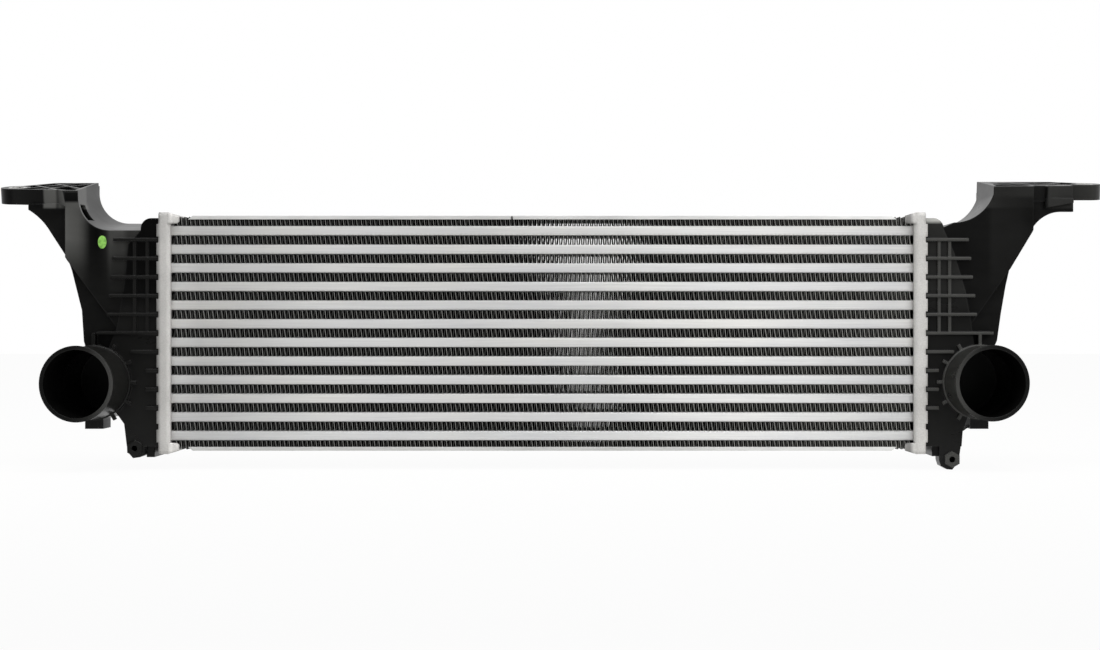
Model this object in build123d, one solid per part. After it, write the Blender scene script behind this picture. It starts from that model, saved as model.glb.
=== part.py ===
"""Charge-air cooler of a van: a brazed aluminium core between two moulded end tanks.

Millimetres. The origin is the centre of the core block. +X runs along the tubes towards the
right-hand tank, -Y is the side that the hose necks point to, and +Z is up.
Headers, gaskets and tanks are drawn in an outboard frame, whose u runs along +X from the
header's inner face. One set of functions builds both sides, and the left one is mirrored.
"""
from build123d import *
from dataclasses import dataclass
import math
import os

# ---- core ---------------------------------------------------------------------------------
tube_count = 12
tube_pitch = 16.0
tube_height = 8.2
tube_depth = 62.0
tube_wall = 0.8
tube_nose_chamfer = 1.8
core_half_length = 318.5        # from the core's centre to the inner face of each header
tube_stick_out = 3.0            # how far a tube end stands past the tube plate

fin_sheet = 0.25
fin_wave = 52.0                 # one full wave; drawn about thirteen times coarser than real fins
fin_end_gap = 3.5               # bare tube between the last fold and the header

turbulator_sheet = 0.4
turbulator_waves = 3

plate_sheet = 1.0               # side plate
plate_end_gap = 14.5            # from the side plate's end to the header's inner face
plate_flange = 3.3
plate_end_slant = 4.0
expansion_cut = 1.6             # saw cut through the top side plate's flanges
expansion_cut_at = -26.0

# ---- header -------------------------------------------------------------------------------
header_sheet = 1.6
header_side = 7.0               # how far the header stands past the tubes, front and back
header_rise = 3.6               # and past the outer fins, above and below
trough_depth = 9.5              # from the trough floor's inner face to the top of its wall
plateau_side = 1.0              # raised middle of the tube plate, past the tubes
plateau_rise = 2.4
header_corner = 2.0
tab_width = 10.8
end_tab_count = 3
ear_length = 8.2
ear_height = 9.7
ear_slant = 3.0
ear_corner = 1.8

# ---- gasket and tank foot -----------------------------------------------------------------
fit_gap = 0.2                   # clearance of a piece that drops into the header trough
gasket_height = 2.5
foot_width = 4.0

# ---- both tanks ---------------------------------------------------------------------------
tank_wall = 3.0
part_overlap = 1.0              # how far one form of the moulding runs into the next
chamber_step = 3.7              # chamber's front and back, inside those of the header
chamber_top_step = 4.9          # chamber's top, below that of the header
chamber_bottom_step = 6.5
dome_radius = 9.0               # rounded top corner of the chamber
trunk_step = 5.3                # trunk's front and back, inside those of the chamber
trunk_overlap = 12.0
rib_thickness = 2.6
rib_height = 3.1
arm_step = 1.3                  # arm's front and back, inside those of the chamber
arm_wall = 3.0
arm_rib_count = 3
arm_overlap = 4.0               # how far the arm runs into the chamber
hook_depth = 12.0               # depth of the rib that carries the head past the arm's end wall
head_thickness = 13.4
head_floor = 3.0
head_rim = 3.0
head_rib = 2.4
head_rib_places = [(0.2, -38), (0.42, 38), (0.62, -38), (0.74, 38)]   # share of span, turn
head_back_step = 6.0
eye_radius = 14.0
sleeve_outer_radius = 8.0
sleeve_bore_radius = 5.3
neck_radius = 31.2
neck_wall = 2.6
neck_splay = 6.0                # the necks point outward by this many degrees
neck_bead = 0.9
neck_bead_length = 6.0
neck_root = 0.9                 # the elbow and root ring stand this much outside the neck
neck_root_length = 4.0
gusset_count = 5
gusset_spread = 30.0            # degrees between two gussets
gusset_reach = 5.5
lug_thickness = 16.0
lug_boss_radius = 7.2
lug_boss_rise = 2.5
lug_hole_depth = 12.0
stop_inset = 4.0                # the stop's front and back, inside those of the chamber
pad_width = 15.5                # block under the neck
pad_depth = 24.0
pad_low = -82.0


@dataclass
class TankSizes:
    """What differs between the two tanks, in the outboard frame."""
    chamber_edge: list          # outer edge of the chamber, from its top corner down
    web_start: tuple            # arm's upper web: where its curve leaves the level stretch
    web_end: tuple              # and where it meets the end face of the head
    web_lean: float             # the arm's faces climb this many degrees from front to back
    root_top: tuple             # arm's first point on the chamber
    under_end: tuple            # arm's lower web: outer end, under the head
    under_level: float          # its level stretch there
    under_slope: float          # how steeply its curve starts, in degrees
    under_turn: tuple           # where its curve runs out into a straight
    kink: tuple                 # where the arm's lower web meets the trunk
    trunk_edge: list            # outer edge of the trunk, from the kink to the neck
    panel_apex: tuple           # lowest point of the arm's front panel
    panel_end: float            # past this the arm's front wall is set back
    panel_setback: float
    head_inner: float           # end face of the head, nearest the core
    head_under: float           # height of the head's underside along its front edge
    head_tilt: float
    head_plan: list             # front edge of the head in plan, from inner end to tip
    head_skirt: list            # lip on the head's front edge, with heights from head_under
    eye_centre: tuple           # in plan
    neck_centre: tuple          # where its axis crosses the chamber's front
    neck_length: float          # from there to the mouth
    rib_ends: list              # ends of the rows of ribs, from the top rib down
    short_rib_ends: list
    upright_ribs: tuple
    lug_outline: list
    lug_hole: tuple
    lug_hole_radius: float
    stop_span: tuple            # small stop beside the lug: its two sides and its low end
    web_window: tuple           # upper web's opening: two depths from the arm's front, heights


right_sizes = TankSizes(
    chamber_edge=[(25.5, 89.0), (34.2, 69.7), (44.1, 36.6), (49.3, 7.6)],
    web_start=(34.5, 94.9),
    web_end=(68.4, 118.8),
    web_lean=0.0,
    root_top=(22.5, 89.4),
    under_end=(138.8, 104.6),
    under_level=10.0,
    under_slope=0.0,
    under_turn=(102.0, 87.0),
    kink=(83.2, 55.7),
    trunk_edge=[(79.8, 40.7), (75.8, 17.6), (72.4, -6.5)],
    panel_apex=(49.3, 7.6),
    panel_end=102.8,
    panel_setback=7.0,
    head_inner=68.4,
    head_under=112.6,
    head_tilt=7.9,
    head_plan=[(102.8, -33.0), (103.8, -27.0), (113.8, -27.0), (114.8, -31.0),
               (137.8, -27.0), (137.8, -14.0)],
    head_skirt=[(113.8, -4.9), (137.8, -0.6), (137.8, 3.4), (113.8, 3.4)],
    eye_centre=(154.8, 0.0),
    neck_centre=(56.1, -41.8),
    neck_length=34.0,
    rib_ends=[46.4, 48.4, 49.9, 51.9, 53.4, 67.5],
    short_rib_ends=[33.8, 20.8, 20.8, 20.8],
    upright_ribs=(21.2, 30.2),
    lug_outline=[(53.5, -76.0), (47.5, -80.0), (41.8, -84.0), (40.8, -92.0),
                 (38.4, -109.0), (36.1, -112.8), (32.8, -117.0), (28.1, -116.6),
                 (23.2, -113.8), (21.6, -109.0), (21.6, -94.0)],
    lug_hole=(32.4, -108.1),
    lug_hole_radius=2.6,
    stop_span=(16.3, 22.5, -105.7),
    web_window=None,
)

left_sizes = TankSizes(
    chamber_edge=[(25.5, 88.0), (36.2, 75.7), (39.1, 45.0), (45.7, 5.3)],
    web_start=(52.5, 88.1),
    web_end=(79.3, 113.5),
    web_lean=8.3,
    root_top=(26.5, 88.1),
    under_end=(123.5, 105.3),
    under_level=0.0,
    under_slope=30.0,
    under_turn=(106.8, 90.0),
    kink=(89.1, 62.9),
    trunk_edge=[(85.9, 53.6), (77.4, 19.6), (75.7, -7.0)],
    panel_apex=(45.7, 4.4),
    panel_end=90.7,
    panel_setback=4.0,
    head_inner=79.3,
    head_under=109.0,
    head_tilt=10.2,
    head_plan=[(90.7, -33.0), (97.9, -27.0), (108.8, -27.0)],
    head_skirt=None,
    eye_centre=(138.5, -8.0),
    neck_centre=(65.4, -42.3),
    neck_length=40.0,
    rib_ends=[48.3, 49.4, 50.7, 52.1, 53.6, 62.4],
    short_rib_ends=[33.8, 20.8, 20.8, 20.8],
    upright_ribs=(19.5, 30.3),
    lug_outline=[(52.9, -74.6), (44.9, -74.2), (39.7, -77.7), (37.4, -92.8),
                 (37.1, -101.3), (32.0, -107.1), (26.3, -106.3), (22.0, -104.4),
                 (22.0, -92.0)],
    lug_hole=(30.2, -98.6),
    lug_hole_radius=2.5,
    stop_span=(14.5, 21.3, -106.5),
    web_window=(4.0, 17.0, 97.3, 110.5),
)

# ---- values worked out from the sizes above -------------------------------------------------
core_half_depth = tube_depth / 2
fin_height = tube_pitch - tube_height
last_tube = (tube_count - 1) * tube_pitch / 2
stack_half_height = last_tube + tube_height / 2 + fin_height
header_half_depth = core_half_depth + header_side
header_half_height = stack_half_height + header_rise
plateau_half_depth = core_half_depth + plateau_side
plate_half_length = core_half_length - plate_end_gap
plate_face = plateau_rise + header_sheet
tube_half_length = core_half_length + plate_face + tube_stick_out
foot_start = header_sheet + gasket_height
foot_end = trough_depth
tab_end = foot_end + header_sheet
foot_half_depth = header_half_depth - header_sheet - fit_gap
foot_half_height = header_half_height - header_sheet - fit_gap
chamber_half_depth = header_half_depth - chamber_step
chamber_top = header_half_height - chamber_top_step
chamber_bottom = chamber_bottom_step - header_half_height
trunk_half_depth = chamber_half_depth - trunk_step
arm_half_depth = chamber_half_depth - arm_step
rib_front = chamber_half_depth + rib_height
tab_reach = chamber_step - fit_gap
tube_heights = [-last_tube + i * tube_pitch for i in range(tube_count)]
row_heights = [-last_tube - tube_pitch / 2 + i * tube_pitch for i in range(tube_count + 1)]


# ---- small builders -------------------------------------------------------------------------
def box_between(x, y, z):
    """A box given by its low and high value along each axis."""
    size = [high - low for low, high in (x, y, z)]
    middle = [(high + low) / 2 for low, high in (x, y, z)]
    return Pos(*middle) * Box(*size)


def front_face(points):
    """A closed outline drawn in the front view."""
    return make_face(Polyline(*points, close=True))


def slab(face, front, back):
    """A front-view face made solid from y = front to y = back."""
    return extrude(Pos(0, back, 0) * (Plane.XZ * face), back - front)


def leaning_slab(face, front, back, lean, hinge):
    """A slab whose sides climb by lean degrees from front to back, turned about a height."""
    if lean == 0:
        return slab(face, front, back)
    spare = back - front
    turned = Pos(0, front, hinge) * Rot(lean, 0, 0) * Pos(0, -front, -hinge)
    box = face.bounding_box()
    clip = box_between((box.min.X - 1, box.max.X + 1), (front, back),
                       (box.min.Y - spare, box.max.Y + spare))
    return (turned * slab(face, front - spare, back + spare)) & clip


def flat_tube_face(width, height, corner):
    """A rectangle with its corners cut off, across the depth of the core."""
    outline = Rectangle(width, height)
    return chamfer(outline.vertices(), corner)


def zigzag(length, half_height, waves, sheet):
    """A folded sheet's section: a triangle wave with sharp folds, centred on the origin."""
    step = length / waves / 2
    side = half_height - sheet
    upper = []
    lower = []
    for i in range(2 * waves + 1):
        x = -length / 2 + i * step
        if i % 2 == 0:
            upper.append((x, -side))
            lower.append((x, -half_height))
        else:
            upper.append((x, half_height))
            lower.append((x, side))
    return make_face(Polyline(*upper, *reversed(lower), close=True))


# ---- core -----------------------------------------------------------------------------------
def tube():
    """A flat tube with narrowed noses, open at both ends."""
    outside = flat_tube_face(tube_depth, tube_height, tube_nose_chamfer)
    inside = flat_tube_face(tube_depth - 2 * tube_wall, tube_height - 2 * tube_wall,
                            tube_nose_chamfer - tube_wall / 2)
    return extrude(Plane.YZ * (outside - inside), tube_half_length, both=True)


def turbulator():
    """The folded sheet inside a tube: its folds cross the depth and run along the tube."""
    width = tube_depth - 2 * tube_wall - 2 * tube_nose_chamfer
    section = zigzag(width, tube_height / 2 - tube_wall, turbulator_waves, turbulator_sheet)
    return extrude(Plane.YZ * section, core_half_length, both=True)


def fin_row():
    """One row of air fins, folded from a single sheet and as deep as the tubes."""
    length = 2 * (core_half_length - fin_end_gap)
    waves = round(length / fin_wave)
    section = zigzag(length, fin_height / 2, waves, fin_sheet)
    return extrude(Plane.XZ * section, core_half_depth, both=True)


def side_plate(cut_at=None):
    """A channel whose web lies on the outer fins and whose flanges hug them."""
    web_top = stack_half_height + plate_sheet
    low = web_top - plate_flange
    outline = front_face([(-plate_half_length, low), (plate_half_length, low),
                          (plate_half_length - plate_end_slant, web_top),
                          (-plate_half_length + plate_end_slant, web_top)])
    outside = core_half_depth + plate_sheet
    plate = slab(outline, -outside, outside)
    plate -= box_between((-core_half_length, core_half_length),
                         (-core_half_depth, core_half_depth), (low - 1, stack_half_height))
    if cut_at is not None:
        for front in (-1, 1):
            y = sorted((front * (core_half_depth - plate_sheet), front * (outside + 1)))
            plate -= box_between((cut_at - expansion_cut / 2, cut_at + expansion_cut / 2),
                                 y, (low - 1, web_top + 1))
    return plate


# ---- header ---------------------------------------------------------------------------------
def ear():
    """The flap at each corner of a header, lying over the end of the side plate."""
    top = header_half_height
    low = top - ear_height
    flap = front_face([(header_sheet, top), (-ear_length, top - ear_slant),
                       (-ear_length, low), (header_sheet, low)])
    corner = flap.vertices().sort_by_distance((-ear_length, low, 0))[0]
    return chamfer(corner, ear_corner)


def header():
    """The pressed tube plate, with its trough, crimp tabs and ears."""
    tray = box_between((0, foot_end), (-header_half_depth, header_half_depth),
                       (-header_half_height, header_half_height))
    tray = chamfer(tray.edges().filter_by(Axis.X), header_corner)
    tray = chamfer(tray.faces().sort_by(Axis.X)[0].edges(), header_corner)
    inner_depth = header_half_depth - header_sheet
    inner_height = header_half_height - header_sheet
    tray -= box_between((header_sheet, foot_end + 1), (-inner_depth, inner_depth),
                        (-inner_height, inner_height))

    plateau_height = inner_height - foot_width - 2 * fit_gap
    tray += box_between((0, plate_face), (-plateau_half_depth, plateau_half_depth),
                        (-plateau_height, plateau_height))
    tray -= box_between((-1, plate_face - header_sheet),
                        (-plateau_half_depth + header_sheet, plateau_half_depth - header_sheet),
                        (-plateau_height + header_sheet, plateau_height - header_sheet))

    slot = Plane.YZ * flat_tube_face(tube_depth, tube_height, tube_nose_chamfer)
    for z in tube_heights:
        tray -= Pos(-1, 0, z) * extrude(slot, plate_face + 2)
        for edge in (-header_half_depth, header_half_depth - tab_reach):
            tray += box_between((foot_end, tab_end), (edge, edge + tab_reach),
                                (z - tab_width / 2, z + tab_width / 2))
    end_pitch = 2 * plateau_half_depth / end_tab_count
    for i in range(end_tab_count):
        y = (i - (end_tab_count - 1) / 2) * end_pitch
        for edge in (-header_half_height, header_half_height - tab_reach):
            tray += box_between((foot_end, tab_end), (y - tab_width / 2, y + tab_width / 2),
                                (edge, edge + tab_reach))

    for front in (-header_half_depth, header_half_depth - header_sheet):
        flap = slab(ear(), front, front + header_sheet)
        tray += flap + mirror(flap, Plane.XY)
    return tray


def gasket():
    """The rubber ring that the tank foot presses into the header trough."""
    x = (header_sheet, foot_start)
    inner_depth = foot_half_depth - foot_width + fit_gap
    inner_height = foot_half_height - foot_width + fit_gap
    ring = box_between(x, (-foot_half_depth, foot_half_depth),
                       (-foot_half_height, foot_half_height))
    ring -= box_between((header_sheet - 1, foot_start + 1), (-inner_depth, inner_depth),
                        (-inner_height, inner_height))
    return ring


# ---- tanks ----------------------------------------------------------------------------------
def chamber_face(sizes):
    """Front view of the chamber, from the tank foot to its outer edge."""
    shoulder, low_edge = sizes.lug_outline[2:4]
    top_corner = (sizes.chamber_edge[0][0], chamber_top)
    face = front_face([(foot_start, chamber_bottom), (foot_start, chamber_top), top_corner,
                       *sizes.chamber_edge, sizes.neck_centre, shoulder,
                       (low_edge[0], chamber_bottom)])
    return fillet(face.vertices().sort_by_distance((*top_corner, 0))[0], dome_radius)


def trunk_face(sizes):
    """Front view of the widening that leads from the chamber to the neck."""
    inner = sizes.chamber_edge[2][0] - trunk_overlap
    return front_face([sizes.kink, *sizes.trunk_edge, sizes.neck_centre,
                       (inner, sizes.neck_centre[1]), (inner, sizes.chamber_edge[2][1])])


def air_body(sizes, inset):
    """Chamber, trunk and elbow as one solid, with every face moved in by inset."""
    chamber = chamber_face(sizes)
    trunk = trunk_face(sizes)
    if inset:
        chamber = offset(chamber, -inset, kind=Kind.INTERSECTION)
        trunk = offset(trunk, -inset, kind=Kind.INTERSECTION)
    deep = chamber_half_depth - inset
    middle = trunk_half_depth - inset
    u, z = sizes.neck_centre
    elbow = slab(Pos(u, z) * Circle(neck_radius + neck_root - inset), -deep, middle)
    return slab(chamber, -deep, deep) + slab(trunk, -middle, middle) + elbow


def foot():
    """The flange that the header's tabs clamp."""
    return box_between((foot_start, foot_end), (-foot_half_depth, foot_half_depth),
                       (-foot_half_height, foot_half_height))


def mouth():
    """What is cut out where the tank opens onto the tubes."""
    depth = foot_half_depth - foot_width
    height = foot_half_height - foot_width
    return box_between((foot_start - 1, foot_end), (-depth, depth), (-height, height))


def arm_face(sizes):
    """Front view of the arm between the chamber and the head."""
    low_head = sizes.head_under + head_thickness - 1
    web = TangentArc(sizes.web_start, sizes.web_end, tangent=(1, 0))
    slope = math.radians(sizes.under_slope)
    end_u, end_z = sizes.under_end
    curve_start = (end_u - sizes.under_level, end_z)
    under = TangentArc(curve_start, sizes.under_turn,
                       tangent=(-math.cos(slope), -math.sin(slope)))
    inside_chamber = [(u - arm_overlap, z) for u, z in reversed(sizes.chamber_edge[1:-1])]
    outline = [
        Line(sizes.root_top, sizes.web_start), web,
        Polyline(sizes.web_end, (sizes.head_inner, low_head), (end_u, low_head),
                 sizes.under_end),
        under,
        Polyline(sizes.under_turn, sizes.kink, sizes.panel_apex),
        Polyline(sizes.panel_apex, *inside_chamber, sizes.root_top),
    ]
    if sizes.under_level:
        outline.append(Line(sizes.under_end, curve_start))
    return make_face(outline)


def above_head_floor(sizes):
    """Everything above the middle of the head's floor, leaning as the head does."""
    reach = sizes.eye_centre[0]
    room = box_between((sizes.head_inner + head_rim, reach + 2 * eye_radius),
                       (-reach, reach), (head_floor / 2, reach))
    return head_place(sizes) * room


def head_place(sizes):
    """The head lies on a plane that hinges on its front lower edge."""
    return Pos(0, -arm_half_depth, sizes.head_under) * Rot(sizes.head_tilt, 0, 0) \
        * Pos(0, arm_half_depth, 0)


def arm(sizes):
    """A channel open at the back: front panel, two webs, end wall and cross ribs."""
    face = arm_face(sizes)
    core = offset(face, -arm_wall, kind=Kind.INTERSECTION)
    hinge = sizes.web_start[1]
    front = -arm_half_depth
    solid = leaning_slab(face, front, arm_half_depth, sizes.web_lean, hinge)
    hollow = leaning_slab(core, front, arm_half_depth + arm_wall, sizes.web_lean, hinge)
    far = sizes.eye_centre[0]
    hollow -= box_between((0, far), (front - 1, front + arm_wall), (0, far))
    hook_front = front + sizes.panel_setback
    hook_back = front + hook_depth
    above = (0, sizes.head_under + 2 * arm_half_depth)
    solid -= box_between((sizes.panel_end, far), (front - 1, hook_front), above)
    solid -= box_between((sizes.panel_end, far), (hook_back, arm_half_depth + 1), above)
    hollow -= box_between((sizes.panel_end - arm_wall, sizes.panel_end),
                          (front - 1, arm_half_depth + 2 * arm_wall), above)
    hollow -= box_between((sizes.panel_end, far), (front - 1, hook_front + arm_wall), above)
    if sizes.web_window:
        back = front + sizes.web_window[1] + arm_wall
        hollow -= box_between((sizes.web_start[0], sizes.panel_end), (back, back + arm_wall),
                              (hinge, sizes.head_under + head_thickness))
    for i in range(arm_rib_count):
        share = (i + 1) / (arm_rib_count + 1)
        z = sizes.panel_apex[1] + share * (sizes.head_under - sizes.panel_apex[1])
        hollow -= box_between((0, sizes.panel_end), (front, arm_half_depth + 2 * arm_wall),
                              (z - arm_wall / 2, z + arm_wall / 2))
    solid -= hollow
    if sizes.web_window:
        near, back, low, high = sizes.web_window
        solid -= box_between((sizes.web_start[0], sizes.web_end[0] + arm_wall),
                             (front + near, front + back), (low, high))
    return solid - above_head_floor(sizes)


def head_face(sizes):
    """Plan of the head: a straight back edge, a stepped front edge and a round eye."""
    u, y = sizes.eye_centre
    outline = [(sizes.head_inner, arm_half_depth), (sizes.head_inner, -arm_half_depth),
               *sizes.head_plan, (u, y - eye_radius), (u, y + eye_radius),
               (sizes.under_end[0] - head_back_step, arm_half_depth)]
    return make_face(Polyline(*outline, close=True)) + Pos(u, y) * Circle(eye_radius)


def head(sizes):
    """The arm's end plate, pocketed from above and crossed by ribs."""
    plan = head_face(sizes)
    u, y = sizes.eye_centre
    block = extrude(plan, head_thickness)
    pocket = Pos(0, 0, head_floor) * extrude(offset(plan, -head_rim, kind=Kind.INTERSECTION),
                                             head_thickness)
    pocket -= Pos(u, y, head_thickness / 2) * Cylinder(sleeve_outer_radius + head_rim,
                                                       2 * head_thickness)
    span = u - sizes.head_inner
    for share, turn in head_rib_places:
        at = Pos(sizes.head_inner + share * span, y / 2, head_thickness / 2) * Rot(0, 0, turn)
        pocket -= at * Box(head_rib, 4 * arm_half_depth, 2 * head_thickness)
    block -= pocket
    block -= Pos(u, y, head_thickness / 2) * Cylinder(sleeve_outer_radius, 2 * head_thickness)
    block = head_place(sizes) * block
    if sizes.head_skirt:
        front = min(y for u, y in sizes.head_plan[1:])
        lip = [(u, sizes.head_under + z) for u, z in sizes.head_skirt]
        block += slab(front_face(lip), front, front + head_rim)
    return block


def neck_place(sizes):
    """Turns +Y into the neck's axis, with the origin where it crosses the chamber's front."""
    u, z = sizes.neck_centre
    return Pos(u, -chamber_half_depth, z) * Rot(0, 0, neck_splay) * Rot(180, 0, 0)


def neck(sizes):
    """The hose neck, turned about its own axis and flared at the mouth, and its root ring."""
    length = sizes.neck_length
    profile = Polyline((0, -tank_wall), (neck_radius, -tank_wall),
                       (neck_radius, length - neck_bead_length),
                       (neck_radius + neck_bead, length), (0, length), close=True)
    pipe = revolve(make_face(profile), Axis.Y)
    u, z = sizes.neck_centre
    root = slab(Pos(u, z) * Circle(neck_radius + neck_root),
                -chamber_half_depth - neck_root_length, -chamber_half_depth)
    return neck_place(sizes) * pipe + root


def neck_bore(sizes):
    """The round passage from the mouth into the elbow."""
    length = sizes.neck_length + 2 * tank_wall
    bore = Rot(-90, 0, 0) * Cylinder(neck_radius - neck_wall, length,
                                     align=(Align.CENTER, Align.CENTER, Align.MIN))
    return neck_place(sizes) * Pos(0, -2 * tank_wall, 0) * bore


def neck_gussets(sizes):
    """Small fins round the neck's root on the side of the core, and the rib above it."""
    u, z = sizes.neck_centre
    depth = (part_overlap - chamber_half_depth - neck_root_length,
             part_overlap - chamber_half_depth)
    fins = []
    for i in range(gusset_count):
        angle = 180 + (i - (gusset_count - 1) / 2) * gusset_spread
        fin = box_between((neck_radius, neck_radius + gusset_reach), depth,
                          (-rib_thickness / 2, rib_thickness / 2))
        fins.append(Pos(u, 0, z) * Rot(0, -angle, 0) * fin)
    fins.append(box_between((u - rib_thickness / 2, u + rib_thickness / 2),
                            (-rib_front, part_overlap - trunk_half_depth),
                            (z + neck_radius, 0)))
    return fins


def rib_grid(sizes):
    """Ribs across the chamber at each fin row, entering the gaps between the crimp tabs."""
    ribs = []
    start = foot_end + fit_gap
    wall = chamber_half_depth - part_overlap
    rows = [z for z in reversed(row_heights[1:-1])]
    ends = [*sizes.rib_ends, *sizes.short_rib_ends]
    for z, end in zip(rows, ends):
        z_range = (z - rib_thickness / 2, z + rib_thickness / 2)
        ribs.append(box_between((start, end), (-rib_front, part_overlap - trunk_half_depth),
                                z_range))
        if end in sizes.rib_ends:
            ribs.append(box_between((start, sizes.chamber_edge[1][0]), (wall, rib_front),
                                    z_range))
    for u in sizes.upright_ribs:
        span = (rows[len(sizes.rib_ends) - 1], rows[0])
        sides = (u - rib_thickness / 2, u + rib_thickness / 2)
        ribs.append(box_between(sides, (part_overlap - rib_front, -wall), span))
    return ribs


def lug(sizes):
    """The low lug with its raised six-sided boss, and the stop beside it."""
    back = -chamber_half_depth + lug_thickness
    plate = slab(front_face(sizes.lug_outline), -chamber_half_depth, back)
    u, z = sizes.lug_hole
    boss = slab(Pos(u, z) * RegularPolygon(lug_boss_radius, 6, rotation=30),
                -chamber_half_depth - lug_boss_rise, back)
    near, far, low = sizes.stop_span
    stop = box_between((near, far), (stop_inset - chamber_half_depth,
                                     chamber_half_depth - stop_inset),
                       (low, chamber_bottom + part_overlap))
    u, z = sizes.neck_centre
    pad = box_between((u - pad_width / 2, u + pad_width / 2),
                      (-chamber_half_depth, -chamber_half_depth + pad_depth),
                      (pad_low, z - neck_radius))
    return plate + boss + stop + pad


def lug_bore(sizes):
    u, z = sizes.lug_hole
    front = -chamber_half_depth - lug_boss_rise
    return slab(Pos(u, z) * Circle(sizes.lug_hole_radius), front, front + lug_hole_depth)


def tank(sizes):
    """One moulding: foot, air chamber, neck, rib grid, arm with its head, and lower lug."""
    body = foot() + air_body(sizes, 0) + lug(sizes) + neck(sizes)
    body += rib_grid(sizes)
    body += neck_gussets(sizes)
    body += arm(sizes) + head(sizes)
    body -= mouth() + air_body(sizes, tank_wall)
    body -= neck_bore(sizes)
    body -= lug_bore(sizes)
    return body


def sleeve(sizes):
    """The steel tube pressed in the head's eye, so that a bolt can't crush the plastic."""
    ring = extrude(Circle(sleeve_outer_radius) - Circle(sleeve_bore_radius), head_thickness)
    u, y = sizes.eye_centre
    return head_place(sizes) * Pos(u, y, 0) * ring


# ---- export ---------------------------------------------------------------------------------
def both_sides(name, right_part, left_part):
    """Places a piece at the right end of the core, and its partner mirrored at the left."""
    place = Pos(core_half_length, 0, 0)
    write(place * right_part, name + "_right")
    write(mirror(place * left_part, Plane.YZ), name + "_left")


def write(shape, name):
    export_step(shape, "parts/" + name + ".step")


os.makedirs("parts", exist_ok=True)

one_tube = tube()
one_turbulator = turbulator()
for number, height in enumerate(tube_heights, start=1):
    write(Pos(0, 0, height) * one_tube, f"tube_{number:02d}")
    write(Pos(0, 0, height) * one_turbulator, f"turbulator_{number:02d}")

one_row = fin_row()
for number, height in enumerate(row_heights):
    write(Pos(0, 0, height) * one_row, f"fin_row_{number:02d}")

write(side_plate(expansion_cut_at), "side_plate_top")
write(mirror(side_plate(), Plane.XY), "side_plate_bottom")

one_header = header()
one_gasket = gasket()
both_sides("header", one_header, one_header)
both_sides("gasket", one_gasket, one_gasket)
both_sides("tank", tank(right_sizes), tank(left_sizes))
both_sides("sleeve", sleeve(right_sizes), sleeve(left_sizes))
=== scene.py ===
import bmesh
import bpy
import math
import numpy as np
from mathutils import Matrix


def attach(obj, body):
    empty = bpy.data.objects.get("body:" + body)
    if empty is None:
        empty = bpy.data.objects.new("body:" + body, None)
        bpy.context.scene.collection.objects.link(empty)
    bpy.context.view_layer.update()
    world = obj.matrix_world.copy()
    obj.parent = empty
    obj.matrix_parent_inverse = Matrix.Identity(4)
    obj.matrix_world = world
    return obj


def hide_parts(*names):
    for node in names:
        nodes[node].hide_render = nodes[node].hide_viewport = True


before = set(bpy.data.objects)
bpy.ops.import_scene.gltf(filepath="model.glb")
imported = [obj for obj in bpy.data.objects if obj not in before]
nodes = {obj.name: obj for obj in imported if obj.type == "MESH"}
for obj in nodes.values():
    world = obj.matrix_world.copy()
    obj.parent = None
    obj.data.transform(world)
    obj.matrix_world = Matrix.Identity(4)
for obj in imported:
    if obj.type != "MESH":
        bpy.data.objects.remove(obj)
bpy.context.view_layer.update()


# ---- flat tubes ---------------------------------------------------------------------------
# Twelve flat tubes carry the charge air across the core. Each is drawn from clad aluminium
# and pushed through both tube plates, and the furnace brazes it to the fins above and below.
mm = 0.001
row_pitch = 16.0
tube_count = 12
first_tube_height = -88.0
tube_half_length = 325.5
tube_half_depth = 31.0
tube_half_height = 4.1
tube_wall = 0.8
nose_length = 1.5
nose_points = 15
nose_power = 4.0
core_span = (-0.32, 0.32)


def mesh_piece(name, points, faces):
    """A mesh object at the origin, from points in millimetres and faces as lists of indices."""
    mesh = bpy.data.meshes.new(name)
    mesh.from_pydata((np.asarray(points, float).reshape(-1, 3) * mm).tolist(), [],
                     [list(map(int, face)) for face in faces])
    mesh.validate()
    mesh.polygons.foreach_set("use_smooth", np.ones(len(mesh.polygons), bool))
    piece = bpy.data.objects.new(name, mesh)
    bpy.context.scene.collection.objects.link(piece)
    return piece


def grid_faces(rows, columns, close_rows=False, close_columns=False):
    """Quads between neighbouring rows and columns of a grid of points, wrapped where closed."""
    r = np.arange(rows if close_rows else rows - 1)[:, None]
    c = np.arange(columns if close_columns else columns - 1)[None, :]
    r_next = (r + 1) % rows
    c_next = (c + 1) % columns
    quads = np.stack([r * columns + c, r * columns + c_next,
                      r_next * columns + c_next, r_next * columns + c], -1)
    return quads.reshape(-1, 4)


def tube_outline(half_depth, half_height, nose):
    """The loop round a flat tube: straight sides, and noses on the curve |s|^4 + |t|^4 = 1,
    where s is a share of the nose's length and t a share of the half height."""
    turn = np.linspace(-np.pi / 2, np.pi / 2, nose_points)
    out = np.abs(np.cos(turn)) ** (2 / nose_power) * nose
    up = np.sign(np.sin(turn)) * np.abs(np.sin(turn)) ** (2 / nose_power) * half_height
    front = np.stack([-(half_depth - nose) - out, up], -1)
    back = np.stack([half_depth - nose + out[::-1], up[::-1]], -1)
    return np.concatenate([front, back])


def make_finish(name, colour, metallic, roughness, specular=0.5):
    """A material with one Principled shader, whose fixed values sit on its own sockets."""
    material = bpy.data.materials.new(name)
    material.use_nodes = True
    shader = material.node_tree.nodes["Principled BSDF"]
    shader.inputs["Base Color"].default_value = (*colour, 1)
    shader.inputs["Metallic"].default_value = metallic
    shader.inputs["Roughness"].default_value = roughness
    shader.inputs["Specular IOR Level"].default_value = specular
    material.diffuse_color = (*colour, 1)
    return material, material.node_tree, shader


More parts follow.
